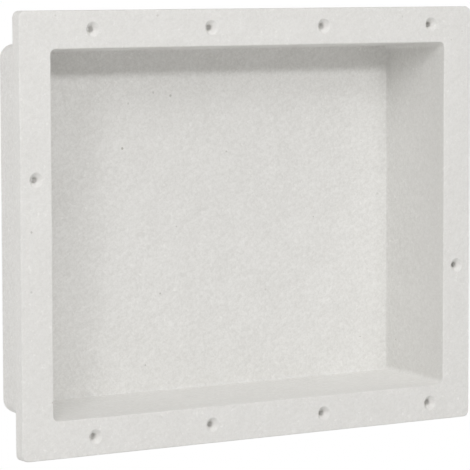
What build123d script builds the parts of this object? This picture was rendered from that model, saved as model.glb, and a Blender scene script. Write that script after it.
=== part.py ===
# Shower niche insert: one moulded piece, a screw flange with a tapered tub behind it.
# Millimetres, +Z up. The open front faces -Y and the tub runs along +Y into the wall.
# The origin is at the middle of the flange, on the back face that bears on the wall.
import os
from math import cos, radians

from build123d import *

# Flange
flange_width = 406.0
flange_height = 327.6
flange_thickness = 11.0
flange_corner_radius = 5.0
flange_front_radius = 1.0
flange_back_bevel = 0.8

# Opening, set by the flat land that is left of the flange around it
side_land = 26.0
end_land = 28.0
opening_corner_radius = 4.0
opening_rim_radius = 1.0

# Tub, with the same taper inside and outside so that its wall is even
cavity_depth = 72.3
draft_angle = 3.0
wall_thickness = 6.2
back_thickness = 6.2
cavity_back_radius = 1.0
tub_back_radius = 7.0
tub_root_radius = 3.0

# Screw holes: a row above the opening, the same row below it, and one hole on each side
row_hole_count = 4
row_left_margin = 61.1
row_right_margin = 38.9
side_hole_height = 41.5
screw_hole_diameter = 4.0
countersink_diameter = 11.2
countersink_angle = 82.0

# Sizes that follow from those above
overall_depth = cavity_depth + back_thickness
opening_width = flange_width - 2 * side_land
opening_height = flange_height - 2 * end_land
wall_across = wall_thickness / cos(radians(draft_angle))
tub_width = opening_width + 2 * wall_across
tub_height = opening_height + 2 * wall_across
tub_corner_radius = opening_corner_radius + wall_thickness
row_pitch = (flange_width - row_left_margin - row_right_margin) / (row_hole_count - 1)
row_middle = (row_left_margin - row_right_margin) / 2
row_spacing = flange_height - end_land
side_hole_reach = (flange_width - side_land) / 2

front = Plane.XZ.offset(flange_thickness)


def flat_faces(builder):
    """Faces parallel to the wall, from the front to the back."""
    return builder.faces().filter_by(Plane.XZ).sort_by(Axis.Y)


def tapered_block(width, height, depth, corner_radius, back_radius):
    """Block from the front plane into the wall, with drafted sides and rounded corners and back."""
    with BuildPart() as block:
        with BuildSketch(front):
            Rectangle(width, height)
        extrude(amount=-depth)
        draft(block.faces() - flat_faces(block), front, -draft_angle)
        fillet(block.edges() - flat_faces(block).edges(), corner_radius)
        fillet(flat_faces(block)[-1].edges(), back_radius)
    return block.part


def screw_hole():
    """Hole through the flange, countersunk from the front."""
    CounterSinkHole(
        screw_hole_diameter / 2,
        countersink_diameter / 2,
        flange_thickness,
        countersink_angle,
    )


tub = tapered_block(tub_width, tub_height, overall_depth, tub_corner_radius, tub_back_radius)
hollow = tapered_block(opening_width, opening_height, cavity_depth, opening_corner_radius, cavity_back_radius)

with BuildPart() as niche:
    # Flange, rounded at its corners and front edges and bevelled at the back
    with BuildSketch(front):
        RectangleRounded(flange_width, flange_height, flange_corner_radius)
    extrude(amount=-flange_thickness)
    fillet(flat_faces(niche)[0].edges(), flange_front_radius)
    chamfer(flat_faces(niche)[-1].edges(), flange_back_bevel)

    # Tub behind it, with a rounded inside corner where it meets the flange
    add(tub)
    fillet(flat_faces(niche)[1].inner_wires().edges(), tub_root_radius)

    # Hollow of the tub, with a rounded rim at the front
    add(hollow, mode=Mode.SUBTRACT)
    fillet(flat_faces(niche)[0].inner_wires().edges(), opening_rim_radius)

    # Countersunk screw holes in the middle of the land
    with Locations(front):
        with Locations((row_middle, 0)):
            with GridLocations(row_pitch, row_spacing, row_hole_count, 2):
                screw_hole()
        with Locations((-side_hole_reach, side_hole_height), (side_hole_reach, -side_hole_height)):
            screw_hole()

niche.part.label = "niche_insert"

os.makedirs("parts", exist_ok=True)
export_step(niche.part, "parts/niche_insert.step")
print("niche_insert volume in cubic millimetres:", round(niche.part.volume))
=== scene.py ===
from math import cos, radians, sin

import bmesh
import bpy
import numpy as np
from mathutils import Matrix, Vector


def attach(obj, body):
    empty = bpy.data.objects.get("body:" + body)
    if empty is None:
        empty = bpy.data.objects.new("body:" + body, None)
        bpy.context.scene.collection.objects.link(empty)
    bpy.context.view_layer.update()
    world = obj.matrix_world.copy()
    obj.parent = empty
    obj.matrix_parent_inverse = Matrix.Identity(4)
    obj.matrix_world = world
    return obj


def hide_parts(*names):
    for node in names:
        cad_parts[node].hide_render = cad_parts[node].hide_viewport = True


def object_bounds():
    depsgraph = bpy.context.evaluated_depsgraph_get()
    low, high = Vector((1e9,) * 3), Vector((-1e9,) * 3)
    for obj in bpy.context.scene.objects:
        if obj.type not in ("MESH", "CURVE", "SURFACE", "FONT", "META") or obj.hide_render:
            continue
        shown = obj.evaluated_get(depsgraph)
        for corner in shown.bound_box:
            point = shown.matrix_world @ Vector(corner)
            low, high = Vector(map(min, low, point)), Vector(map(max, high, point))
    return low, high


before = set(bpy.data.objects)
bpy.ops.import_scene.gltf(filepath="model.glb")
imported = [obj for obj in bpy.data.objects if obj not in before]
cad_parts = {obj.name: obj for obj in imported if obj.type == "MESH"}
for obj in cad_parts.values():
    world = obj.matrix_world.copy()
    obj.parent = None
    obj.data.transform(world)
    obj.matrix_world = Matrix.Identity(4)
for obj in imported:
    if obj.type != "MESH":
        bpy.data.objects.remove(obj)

scene = bpy.context.scene
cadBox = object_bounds()
perMetre = 1000.0  # millimetres in a metre
print("frame loaded, box", [round(v, 4) for v in (*cadBox[0], *cadBox[1])])

# Niche: flange and tub as one closed skin, sizes in millimetres and degrees
niche = {
    "flangeHalf": (203.0, 163.8),
    "flangeThickness": 11.0,
    "flangeCorner": 5.0,
    "frontRadius": 1.0,
    "backBevel": 0.8,
    "openingHalf": (177.0, 135.8),
    "openingCorner": 4.0,
    "rimRadius": 1.0,
    "cavityDepth": 72.3,
    "draft": 3.0,
    "wall": 6.2,
    "backWall": 6.2,
    "cavityBackRadius": 1.0,
    "tubBackRadius": 7.0,
    "rootRadius": 3.0,
    "loopSteps": (126, 98, 6),  # along the width, along the height, round a corner
    "arcSteps": 7,
    "rowStep": 2.8,
    "sharpAngle": 35.0,  # edges that turn by more than this are shaded hard
}


def sectionRows(spec):
    # Section from the middle of the niche's back, round the flange, to the middle of the cavity's back.
    # Each row is one rounded rectangle: half width, half height, corner radius, depth.
    draft, wall = spec["draft"], spec["wall"]
    slope = radians(draft)
    front = -spec["flangeThickness"]
    back = front + spec["cavityDepth"]
    tubEnd = back + spec["backWall"]
    turn = np.linspace(0.0, 1.0, spec["arcSteps"] + 1)

    def rectangles(half, off, corner, depth):
        return np.stack([half[0] + off, half[1] + off, corner, depth], axis=1)

    # An arc of the tub: its centre lies one radius off the drafted wall, its points are centre plus radius
    # times the cosine and sine, and the corner grows with the distance from that wall.
    def tubArc(radius, side, thickness, middle, first, last):
        angle = np.radians(first + (last - first) * turn)
        reach = (thickness + side * radius - (middle - front) * sin(slope)) / cos(slope)
        off = reach + radius * np.cos(angle)
        depth = middle + radius * np.sin(angle)
        corner = spec["openingCorner"] + off + (depth - front) * np.tan(slope)
        return rectangles(spec["openingHalf"], off, corner, depth)

    # Rows round the flange's edge: the corner shrinks as much as the rectangle does
    def flangeRows(off, depth):
        off = np.asarray(off)
        return rectangles(spec["flangeHalf"], off, spec["flangeCorner"] + off, np.asarray(depth))

    # Square-cornered loops, where the flat grids of the two backs begin
    def squared(row):
        return [[row[0] - row[2], row[1] - row[2], 0.0, row[3]]]

    outerRadius, innerRadius = spec["tubBackRadius"], spec["cavityBackRadius"]
    rootRadius, rimRadius = spec["rootRadius"], spec["rimRadius"]
    bevel, edge = spec["backBevel"], spec["frontRadius"]
    quarter = np.radians(-90.0 * turn)
    outerBack = tubArc(outerRadius, -1, wall, tubEnd - outerRadius, 90.0, draft)
    root = tubArc(rootRadius, 1, wall, rootRadius, 180.0 + draft, 270.0)
    bevelled = flangeRows([-bevel, 0.0], [0.0, -bevel])
    frontEdge = flangeRows(edge * np.cos(quarter) - edge, front + edge + edge * np.sin(quarter))
    rim = tubArc(rimRadius, 1, 0.0, front + rimRadius, -90.0, draft - 180.0)
    innerBack = tubArc(innerRadius, -1, 0.0, back - innerRadius, draft, 90.0)
    keys = np.concatenate([squared(outerBack[0]), outerBack, root, bevelled, frontEdge, rim, innerBack,
                           squared(innerBack[-1])])

    # Rows in between, spread evenly by the longest move of each stretch
    move = np.abs(np.diff(keys, axis=0)[:, [0, 1, 3]]).max(axis=1)
    count = np.maximum(np.ceil(move / spec["rowStep"]).astype(int), 1)
    before = np.cumsum(count) - count
    share = (np.arange(count.sum()) - np.repeat(before, count)) / np.repeat(count, count)
    start = np.repeat(np.arange(len(count)), count)
    rows = keys[start] + share[:, None] * (keys[start + 1] - keys[start])
    return np.concatenate([rows, keys[-1:]])


def unitLoop(steps):
    # Once round a rounded rectangle: shares of its straight halves, and the corner's cosine and sine
    nx, nz, nc = steps
    across, upward = np.linspace(-1.0, 1.0, nx + 1), np.linspace(-1.0, 1.0, nz + 1)
    bend = np.linspace(0.0, np.pi / 2, nc + 1)[1:-1]
    one = np.ones(nc - 1)
    sides = [(np.ones(nz + 1), upward, np.zeros(nz + 1)), (one, one, bend),
             (across[::-1], np.ones(nx + 1), np.full(nx + 1, np.pi / 2)), (-one, one, bend + np.pi / 2),
             (-np.ones(nz + 1), upward[::-1], np.full(nz + 1, np.pi)), (-one, -one, bend + np.pi),
             (across, -np.ones(nx + 1), np.full(nx + 1, 1.5 * np.pi)), (one, -one, bend + 1.5 * np.pi)]
    shareX, shareZ, angle = (np.concatenate(parts) for parts in zip(*sides))
    return shareX, shareZ, np.cos(angle), np.sin(angle), across, upward


def gridFaces(rows, columns, first, closed):
    # Quads of a grid of points, whose columns may run on into the first one again
    j = np.arange(columns if closed else columns - 1)
    i = np.arange(rows - 1)[:, None] * columns
    k = (j + 1) % columns
    return (first + np.stack([i + j, i + k, i + columns + k, i + columns + j], axis=-1)).reshape(-1, 4)


def nicheSkin(spec):
    # Point = share of the straight half, times what the corner leaves of it, plus the corner's radius times
    # its cosine or sine, carried along the rows of the section
    rows = sectionRows(spec)
    shareX, shareZ, c, s, across, upward = unitLoop(spec["loopSteps"])
    halfX, halfZ, corner, depth = (rows[:, k, None] for k in range(4))
    x = shareX * (halfX - corner) + corner * c
    z = shareZ * (halfZ - corner) + corner * s
    parts = [np.stack([x, np.broadcast_to(depth, x.shape), z], axis=-1).reshape(-1, 3)]
    faces = [gridFaces(*x.shape, 0, True)]
    total = x.size

    # Flat grids close the outer back and the cavity's back
    for endX, endZ, _, endDepth in (rows[0], rows[-1]):
        x, z = np.meshgrid(across * endX, upward * endZ)
        parts.append(np.stack([x, np.full_like(x, endDepth), z], axis=-1).reshape(-1, 3))
        faces.append(gridFaces(*x.shape, total, False))
        total += x.size
    return np.concatenate(parts) / perMetre, np.concatenate(faces).tolist()


def closedMesh(name, points, faces):
    # Merges doubles, dissolves slivers and turns the faces outwards; the print tells whether it is closed
    weld, sliver = 1e-6, 1e-7  # metres
    mesh = bpy.data.meshes.new(name)
    mesh.from_pydata(points.tolist(), [], faces)
    work = bmesh.new()
    work.from_mesh(mesh)
    bmesh.ops.remove_doubles(work, verts=work.verts, dist=weld)
    bmesh.ops.dissolve_degenerate(work, edges=work.edges, dist=sliver)
    bmesh.ops.recalc_face_normals(work, faces=work.faces)
    loose = sum(len(edge.link_faces) != 2 for edge in work.edges)
    volume = round(work.calc_volume(signed=True) * 1e6, 2)
    print(name, len(work.faces), "faces, open edges", loose, "volume cm3", volume)
    work.to_mesh(mesh)
    work.free()
    return mesh


# Casting waves: flat faces of the moulding are never quite flat, millimetres
waves = {
    "depth": 0.07,
    "lengths": (22.0, 85.0),
    "count": 24,
    "limit": 2.0,  # deviations at which the swell is cut off
    "seed": 7,
}


def addWaves(mesh, spec):
    # Each point sinks along its normal by half the depth, times one plus the sum of seeded cosine waves
    # in deviations, cut off at the limit and divided by it
    rng = np.random.default_rng(spec["seed"])
    count, limit = spec["count"], spec["limit"]
    place = np.empty(len(mesh.vertices) * 3)
    normal = np.empty(len(mesh.vertices) * 3)
    mesh.vertices.foreach_get("co", place)
    mesh.vertices.foreach_get("normal", normal)
    place, normal = place.reshape(-1, 3), normal.reshape(-1, 3)
    way = rng.normal(size=(count, 3))
    way /= np.linalg.norm(way, axis=1)[:, None]
    way *= 2 * np.pi * perMetre / rng.uniform(*spec["lengths"], count)[:, None]
    phase = rng.uniform(0, 2 * np.pi, count)
    swell = np.cos(place @ way.T + phase).sum(axis=1) / np.sqrt(count / 2)
    sink = 0.5 + np.clip(swell, -limit, limit) / (2 * limit)
    place -= normal * (sink * spec["depth"] / perMetre)[:, None]
    mesh.vertices.foreach_set("co", place.ravel())
    mesh.update()


# Screw holes: profile of the countersink and bore from the front, radius and depth in millimetres
screwHoles = {
    "rowMiddle": 11.1,
    "rowPitch": 102.0,
    "rowCount": 4,
    "rowHeight": 149.8,
    "sidePlaces": ((-190.0, 41.5), (190.0, -41.5)),
    "radius": (6.90, 6.05, 5.55, 5.10, 2.95, 2.60, 2.42, 2.30, 2.0, 2.0),
    "depth": (-0.30, -0.02, 0.16, 0.50, 3.05, 3.45, 4.0, 5.0, 10.6, 12.0),
    "segments": 56,
}

# Pits: small shallow pores left by the casting, as x, z, radius in millimetres and share of the painted
# shade tint, which darkens each pit as the shade inside it would
pits = {
    "cavityBack": ((-75.1, 57.1, 1.05, 0.64), (-41.9, -56.4, 0.80, 0.49), (-55.8, -111.5, 0.98, 0.26),
                   (19.2, 51.5, 0.72, 0.42), (-47.2, 99.2, 0.90, 0.32), (-69.5, 91.3, 0.80, 0.34),
                   (147.4, -103.2, 0.52, 0.62), (101.4, -3.4, 0.46, 0.70), (-27.0, -5.1, 0.60, 0.38),
                   (-31.9, 96.5, 1.05, 0.27), (164.1, 12.3, 1.15, 0.18), (55.4, -59.2, 0.92, 0.21)),
    "flangeFront": ((-194.3, 4.0, 0.88, 0.30), (-86.9, 159.3, 0.86, 0.17), (-173.0, 160.2, 0.78, 0.15),
                    (184.0, 137.7, 0.80, 0.22), (-194.8, -39.5, 0.86, 0.19), (136.2, 156.3, 0.85, 0.16)),
    "radius": (1.2, 1.0, 0.85, 0.45),  # profile, in radii of the pit
    "depth": (-0.3, 0.0, 0.3, 0.5),
    "segments": 14,
}


def lathed(radius, depth, places, sizes, segments, start=0):
    # Point = place plus size times (radius cosine, depth, radius sine), one turned plug for each place
    radius, depth, places, sizes = (np.asarray(v, float) for v in (radius, depth, places, sizes))
    angle = np.linspace(0.0, 2 * np.pi, segments, endpoint=False)
    x, z = radius[:, None] * np.cos(angle), radius[:, None] * np.sin(angle)
    plug = np.stack([x, np.broadcast_to(depth[:, None], x.shape), z], axis=-1).reshape(-1, 3)
    points = places[:, None, :] + sizes[:, None, None] * plug
    first = start + np.arange(len(places)) * len(plug)
    turn = np.arange(segments)
    sides = (first[:, None, None] + gridFaces(len(depth), segments, 0, True)).reshape(-1, 4)
    ends = np.concatenate([first[:, None] + turn[::-1], first[:, None] + len(plug) - segments + turn])
    return points.reshape(-1, 3) / perMetre, sides.tolist() + ends.tolist()


def cutters(spec, holes, pores):
    # One mesh of turned plugs for all screw holes and pits
    front = -spec["flangeThickness"]
    back = front + spec["cavityDepth"]
    step = np.arange(holes["rowCount"]) - (holes["rowCount"] - 1) / 2
    rowPlaces = holes["rowMiddle"] + holes["rowPitch"] * step
    places = [(x, front, z) for z in (holes["rowHeight"], -holes["rowHeight"]) for x in rowPlaces]
    places += [(x, front, z) for x, z in holes["sidePlaces"]]
    points, faces = lathed(holes["radius"], holes["depth"], places, np.ones(len(places)), holes["segments"])
    marks = [(x, back, z, size, pitShadeShare) for x, z, size, pitShadeShare in pores["cavityBack"]]
    marks += [(x, front, z, size, pitShadeShare) for x, z, size, pitShadeShare in pores["flangeFront"]]
    marks = np.array(marks)
    pitPoints, pitFaces = lathed(pores["radius"], pores["depth"], marks[:, :3], marks[:, 3],
                                 pores["segments"], start=len(points))
    mesh = closedMesh("drill", np.concatenate([points, pitPoints]), faces + pitFaces)

    # The sides and ends of each pit carry its share of the painted shade tint, which the finish reads to
    # darken the pit in place of the shade inside it
    share = marks[:, 4]
    sides = (len(pores["depth"]) - 1) * pores["segments"]
    pitShadeShare = np.concatenate([np.zeros(len(faces)), np.repeat(share, sides), share, share])
    pitShadeLayer = mesh.attributes.new("paintedPitShade", "FLOAT", "FACE")
    pitShadeLayer.data.foreach_set("value", pitShadeShare.astype(np.float32))
    return mesh


def drilled(mesh, cutterMesh, name):
    body = bpy.data.objects.new(name, mesh)
    drill = bpy.data.objects.new("drill", cutterMesh)
    for item in (body, drill):
        scene.collection.objects.link(item)
    cut = body.modifiers.new("cut", "BOOLEAN")
    cut.operation, cut.solver, cut.object = "DIFFERENCE", "EXACT", drill
    bpy.context.view_layer.update()
    done = bpy.data.meshes.new_from_object(body.evaluated_get(bpy.context.evaluated_depsgraph_get()))
    body.modifiers.clear()
    body.data = done
    bpy.data.objects.remove(drill)
    return body


nicheMesh = closedMesh("nicheSkin", *nicheSkin(niche))
# Layer of painted pit shade, nought on the skin itself so that only the pits are darkened
nicheMesh.attributes.new("paintedPitShade", "FLOAT", "FACE")
addWaves(nicheMesh, waves)
nicheBody = drilled(nicheMesh, cutters(niche, screwHoles, pits), "nicheMoulding")
nicheBody.data.shade_smooth()
nicheBody.data.set_sharp_from_angle(angle=radians(niche["sharpAngle"]))
even = nicheBody.modifiers.new("evenShading", "WEIGHTED_NORMAL")
even.keep_sharp = True
print("niche drilled,", len(nicheBody.data.polygons), "faces")


# Small helpers for the shader graphs
def addNode(tree, kind, **values):
    node = tree.nodes.new(kind)
    for key, value in values.items():
        setattr(node, key, value)
    return node


def setSockets(node, **values):
    for key, value in values.items():
        node.inputs[key.replace("_", " ")].default_value = value


# The moulding: matt off-white with a cloudy tint, blotchy mottle, slanting strands, pale fibres and flecks,
# and painted shade in its pits
moulding = {
    "paleTint": (0.824, 0.821, 0.806, 1.0),
    "deepTint": (0.708, 0.703, 0.684, 1.0),
    "fleckTint": (0.870, 0.867, 0.851, 1.0),
    "speckTint": (0.560, 0.545, 0.510, 1.0),
    # painted shade for the pits: colour that stands in for the shade inside them
    "paintedPitShadeTint": (0.300, 0.285, 0.255, 1.0),
    # scale per metre, detail, roughness and distortion of each noise
    "cloud": (38.0, 3.0, 0.55, 0.0),
    "mottle": (340.0, 3.0, 0.7, 0.6),
    "strand": (340.0, 3.0, 0.65, 0.8),
    "grain": (760.0, 2.0, 0.7, 0.0),
    "fibre": (150.0, 1.0, 0.5, 1.6),
    "patch": (170.0, 1.0, 0.5, 0.0),
    "fleck": (330.0, 1.0, 0.5, 0.3),
    "speck": (260.0, 1.0, 0.5, 0.0),
    # values of a noise between which its effect goes from none to full
    "toneRange": (0.3, 0.7),
    "patchRange": (0.54, 0.66),
    "fleckRange": (0.66, 0.84),
    "speckRange": (0.80, 0.86),
    "fibreWidth": 0.02,  # in values of its noise
    "fibreShare": 0.35,  # of the fleck tint
    "strandTurn": 28.0,  # degrees that the strands climb to the right
    "strandStretch": (0.3, 1.0, 1.0),
    "toneShares": {"cloud": 0.13, "mottle": 0.52, "strand": 0.25, "grain": 0.30},
    "toneGain": (-0.0090, 0.0608, 1.0, 1.70),  # two depths in metres, and how wide the tone swings at each
    "specular": 0.35,
    "roughness": (0.56, 0.72),
    "bumpStrength": 0.5,
    "bumpDepth": 0.0002,  # metres
}


def mouldingFinish(spec):
    mat = bpy.data.materials.new("mottledMoulding")
    mat.use_nodes = True
    tree = mat.node_tree
    shader = tree.nodes["Principled BSDF"]
    setSockets(shader, Specular_IOR_Level=spec["specular"])
    place = addNode(tree, "ShaderNodeTexCoord")
    turned = addNode(tree, "ShaderNodeMapping", vector_type="TEXTURE")
    setSockets(turned, Rotation=(0.0, -radians(spec["strandTurn"]), 0.0))
    slanted = addNode(tree, "ShaderNodeVectorMath", operation="MULTIPLY")
    slanted.inputs[1].default_value = spec["strandStretch"]
    tree.links.new(place.outputs["Object"], turned.inputs["Vector"])
    tree.links.new(turned.outputs["Vector"], slanted.inputs[0])

    def noise(name, along=place.outputs["Object"]):
        scale, detail, rough, distortion = spec[name]
        node = addNode(tree, "ShaderNodeTexNoise", label=name)
        setSockets(node, Scale=scale, Detail=detail, Roughness=rough, Distortion=distortion)
        tree.links.new(along, node.inputs["Vector"])
        return node.outputs["Fac"]

    def ranged(value, low, high, outLow=0.0, outHigh=1.0):
        node = addNode(tree, "ShaderNodeMapRange")
        tree.links.new(value, node.inputs["Value"])
        setSockets(node, From_Min=low, From_Max=high, To_Min=outLow, To_Max=outHigh)
        return node.outputs["Result"]

    def maths(operation, *values):
        node = addNode(tree, "ShaderNodeMath", operation=operation)
        for socket, value in zip(node.inputs, values):
            if isinstance(value, float):
                socket.default_value = value
            else:
                tree.links.new(value, socket)
        return node.outputs[0]

    def tinted(factor, under, over):
        node = addNode(tree, "ShaderNodeMix", data_type="RGBA")
        tree.links.new(factor, node.inputs["Factor"])
        for socket, colour in ((6, under), (7, over)):
            if isinstance(colour, tuple):
                node.inputs[socket].default_value = colour
            else:
                tree.links.new(colour, node.inputs[socket])
        return node.outputs[2]

    # Tone runs from nought, deep, to one, pale, and swings wider towards the back of the cavity
    field = {"cloud": noise("cloud"), "mottle": noise("mottle"), "grain": noise("grain"),
             "strand": noise("strand", slanted.outputs["Vector"])}
    tone = None
    for name, share in spec["toneShares"].items():
        layer = ranged(field[name], *spec["toneRange"], 0.0, share)
        tone = layer if tone is None else maths("ADD", tone, layer)
    axes = addNode(tree, "ShaderNodeSeparateXYZ")
    tree.links.new(place.outputs["Object"], axes.inputs[0])
    gain = ranged(axes.outputs["Y"], *spec["toneGain"])
    swing = maths("SUBTRACT", tone, sum(spec["toneShares"].values()) / 2)
    tone = maths("MULTIPLY_ADD", swing, gain, 0.5)

    # Fibres are the thin lines where a curled noise passes its middle value, kept in patches
    line = maths("ABSOLUTE", maths("SUBTRACT", noise("fibre"), 0.5))
    thin = ranged(line, 0.0, spec["fibreWidth"], 1.0, 0.0)
    fibre = maths("MULTIPLY", thin, ranged(noise("patch"), *spec["patchRange"]))

    colour = tinted(tone, spec["deepTint"], spec["paleTint"])
    colour = tinted(maths("MULTIPLY", fibre, spec["fibreShare"]), colour, spec["fleckTint"])
    colour = tinted(ranged(noise("fleck"), *spec["fleckRange"]), colour, spec["fleckTint"])
    colour = tinted(ranged(noise("speck"), *spec["speckRange"]), colour, spec["speckTint"])
    # Painted shade: each pit is darkened by its share of the pit shade tint, in place of the shade that
    # falls inside it
    paintedPitShade = addNode(tree, "ShaderNodeAttribute", attribute_name="paintedPitShade")
    colour = tinted(paintedPitShade.outputs["Fac"], colour, spec["paintedPitShadeTint"])
    tree.links.new(colour, shader.inputs["Base Color"])
    rough = ranged(field["mottle"], *spec["toneRange"], *spec["roughness"])
    tree.links.new(rough, shader.inputs["Roughness"])
    bump = addNode(tree, "ShaderNodeBump")
    setSockets(bump, Strength=spec["bumpStrength"], Distance=spec["bumpDepth"])
    height = maths("ADD", maths("ADD", field["mottle"], field["strand"]), fibre)
    tree.links.new(height, bump.inputs["Height"])
    tree.links.new(bump.outputs["Normal"], shader.inputs["Normal"])
    return mat


finish = mouldingFinish(moulding)
for item in (nicheBody, *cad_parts.values()):
    item.data.materials.clear()
    item.data.materials.append(finish)
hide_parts("niche_insert")
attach(nicheBody, "root")
print("finish made")

# Studio: pale floor well below the niche, which hangs as in its wall, and white behind it, in metres
studio = {
    "floorDrop": 0.30,
    "floorSize": 30.0,
    "floorColour": (0.9, 0.9, 0.9, 1.0),
    "floorLift": 0.35,  # glow that the camera sees on the floor, so that its open part is white
    "floorFade": (0.35, 0.95),  # distances from the niche between which the floor goes plain white
    "white": (1.0, 1.0, 1.0, 1.0),
    "ambient": (0.197, 0.187, 0.175, 1.0),
    "aim": (0.0, 0.02, 0.0),
    # azimuth from the front (left is negative), height angle, distance, width, height, watts
    "lamps": {
        "frontStrip": (0.0, 19.1, 5.0, 2.6, 0.40, 72.0),
        "leftSoftbox": (-50.0, 20.8, 5.0, 0.8, 0.75, 32.0),
        "highSoftbox": (-38.0, 36.0, 5.0, 2.4, 1.8, 43.6),
        "topSoftbox": (0.0, 70.0, 5.0, 2.3, 2.3, 47.0),
        "rearSoftbox": (-124.0, 12.0, 5.0, 2.0, 2.0, 78.4),
    },
}


def aimed(way):
    return way.to_track_quat("-Z", "Y").to_euler()


def seenRays(tree):
    # One for rays from the camera, mirror-like reflections and see-through parts,
    # nought for light that falls on the object
    path = addNode(tree, "ShaderNodeLightPath")
    value = path.outputs["Is Camera Ray"]
    for other in ("Is Glossy Ray", "Is Transmission Ray"):
        most = addNode(tree, "ShaderNodeMath", operation="MAXIMUM")
        tree.links.new(value, most.inputs[0])
        tree.links.new(path.outputs[other], most.inputs[1])
        value = most.outputs[0]
    return value


def setLights(spec):
    aim = Vector(spec["aim"])
    for name, (azimuth, rise, distance, width, height, watts) in spec["lamps"].items():
        a, e = radians(azimuth), radians(rise)
        lamp = bpy.data.lights.new(name, "AREA")
        lamp.shape = "RECTANGLE"
        lamp.size, lamp.size_y, lamp.energy = width, height, watts
        holder = bpy.data.objects.new(name, lamp)
        holder.location = aim + Vector((sin(a) * cos(e), -cos(a) * cos(e), sin(e))) * distance
        holder.rotation_euler = aimed(aim - holder.location)
        scene.collection.objects.link(holder)

    world = bpy.data.worlds.new("studioWorld")
    world.use_nodes = True
    scene.world = world
    tree = world.node_tree
    sky = addNode(tree, "ShaderNodeMix", data_type="RGBA")
    tree.links.new(seenRays(tree), sky.inputs["Factor"])
    sky.inputs[6].default_value = spec["ambient"]
    sky.inputs[7].default_value = spec["white"]
    tree.links.new(sky.outputs[2], tree.nodes["Background"].inputs["Color"])


def setFloor(spec):
    half = spec["floorSize"] / 2
    level = cadBox[0][2] - spec["floorDrop"]
    corners = [(-half, -half, level), (half, -half, level), (half, half, level), (-half, half, level)]
    mesh = bpy.data.meshes.new("studioFloor")
    mesh.from_pydata(corners, [], [(0, 1, 2, 3)])
    floor = bpy.data.objects.new("studioFloor", mesh)
    scene.collection.objects.link(floor)
    mat = bpy.data.materials.new("paleFloor")
    mat.use_nodes = True
    tree = mat.node_tree
    lit = tree.nodes["Principled BSDF"]
    setSockets(lit, Base_Color=spec["floorColour"], Roughness=1.0, Specular_IOR_Level=0.0)

    # Plain white far off, lit floor with a little glow near the niche, so that the shadow stays
    place = addNode(tree, "ShaderNodeTexCoord")
    flat = addNode(tree, "ShaderNodeVectorMath", operation="MULTIPLY")
    flat.inputs[1].default_value = (1.0, 1.0, 0.0)
    tree.links.new(place.outputs["Object"], flat.inputs[0])
    reach = addNode(tree, "ShaderNodeVectorMath", operation="LENGTH")
    tree.links.new(flat.outputs["Vector"], reach.inputs[0])
    near, far = spec["floorFade"]
    fade = addNode(tree, "ShaderNodeMapRange", interpolation_type="SMOOTHSTEP")
    setSockets(fade, From_Min=near, From_Max=far, To_Min=0.0, To_Max=1.0)
    tree.links.new(reach.outputs["Value"], fade.inputs["Value"])
    glow = addNode(tree, "ShaderNodeEmission")
    setSockets(glow, Strength=spec["floorLift"])
    lifted = addNode(tree, "ShaderNodeAddShader")
    tree.links.new(lit.outputs["BSDF"], lifted.inputs[0])
    tree.links.new(glow.outputs["Emission"], lifted.inputs[1])
    plain = addNode(tree, "ShaderNodeEmission")
    setSockets(plain, Color=spec["white"])
    shown = addNode(tree, "ShaderNodeMixShader")
    tree.links.new(fade.outputs["Result"], shown.inputs["Fac"])
    tree.links.new(lifted.outputs["Shader"], shown.inputs[1])
    tree.links.new(plain.outputs["Emission"], shown.inputs[2])
    either = addNode(tree, "ShaderNodeMixShader")
    tree.links.new(seenRays(tree), either.inputs["Fac"])
    tree.links.new(lit.outputs["BSDF"], either.inputs[1])
    tree.links.new(shown.outputs["Shader"], either.inputs[2])
    tree.links.new(either.outputs["Shader"], tree.nodes["Material Output"].inputs["Surface"])
    mesh.materials.append(mat)


setLights(studio)
setFloor(studio)
print("studio set")

# Camera at the photograph's angle: metres, degrees, and millimetres for the lens and sensor
shot = {
    "place": (-1.1998, -1.8459, 0.1896),
    "yaw": 32.753,
    "pitch": -5.142,
    "roll": -0.151,
    "lens": 222.09,
    "sensor": 36.0,
    "clip": (0.05, 60.0),
}


def setCamera(spec):
    yaw, pitch = radians(spec["yaw"]), radians(spec["pitch"])
    data = bpy.data.cameras.new("photoCamera")
    data.sensor_width, data.lens = spec["sensor"], spec["lens"]
    data.clip_start, data.clip_end = spec["clip"]
    camera = bpy.data.objects.new("photoCamera", data)
    camera.location = spec["place"]
    camera.rotation_euler = aimed(Vector((sin(yaw) * cos(pitch), cos(yaw) * cos(pitch), sin(pitch))))
    camera.rotation_euler.rotate_axis("Z", radians(spec["roll"]))
    scene.collection.objects.link(camera)
    scene.camera = camera


setCamera(shot)
scene.view_settings.view_transform = "Standard"
print("camera set")
